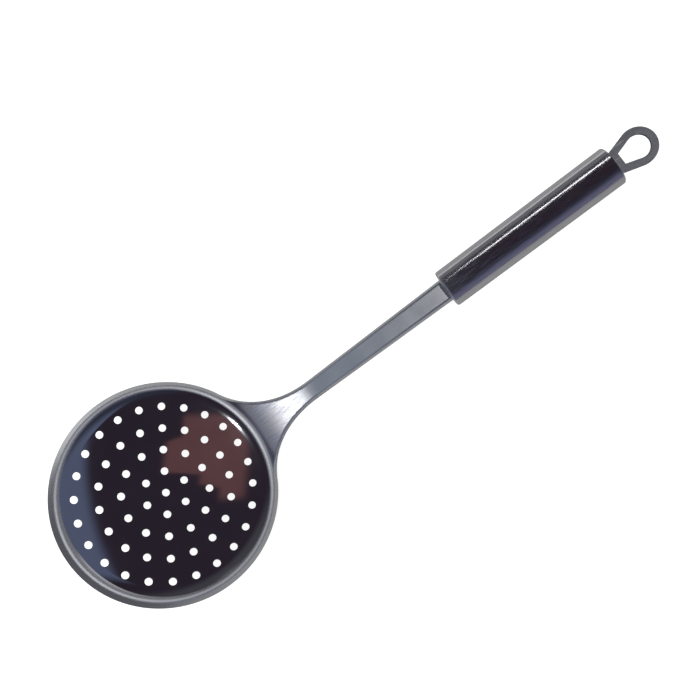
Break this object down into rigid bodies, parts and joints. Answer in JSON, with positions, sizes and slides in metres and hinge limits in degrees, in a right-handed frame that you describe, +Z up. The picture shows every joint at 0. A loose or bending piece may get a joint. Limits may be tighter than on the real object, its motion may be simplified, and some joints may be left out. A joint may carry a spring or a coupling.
{
  "type": "kitchen skimmer",
  "caption": "Stainless steel kitchen skimmer: round perforated bowl with a turned-down rim, a stamped neck and shank, and a hollow tube handle with a pear-shaped hanging loop.",
  "frame": {"origin": "on the table under the middle of the tool's length and width, as it lies at rest on the neck's bend and the handle's front edge", "axes": "+X along the tool from the bowl towards the hanging loop, +Z up off the table, +Y to the left when looking along +X"},
  "size_m": [0.3372, 0.111, 0.0714],
  "materials": {
    "polished_sheet": "polished stainless steel sheet with fine scratches",
    "handle_steel": "polished stainless steel tube with lengthwise wear",
    "loop_steel": "matte stainless steel plate",
    "weld_metal": "rough weld bead"
  },
  "bodies": {
    "root": {"skimmer_head": "polished_sheet", "front_cap": "handle_steel", "shank_weld": "weld_metal", "handle_tube": "handle_steel", "rear_cap": "handle_steel", "loop_weld": "weld_metal", "hanging_loop": "loop_steel"}
  },
  "joints": []
}
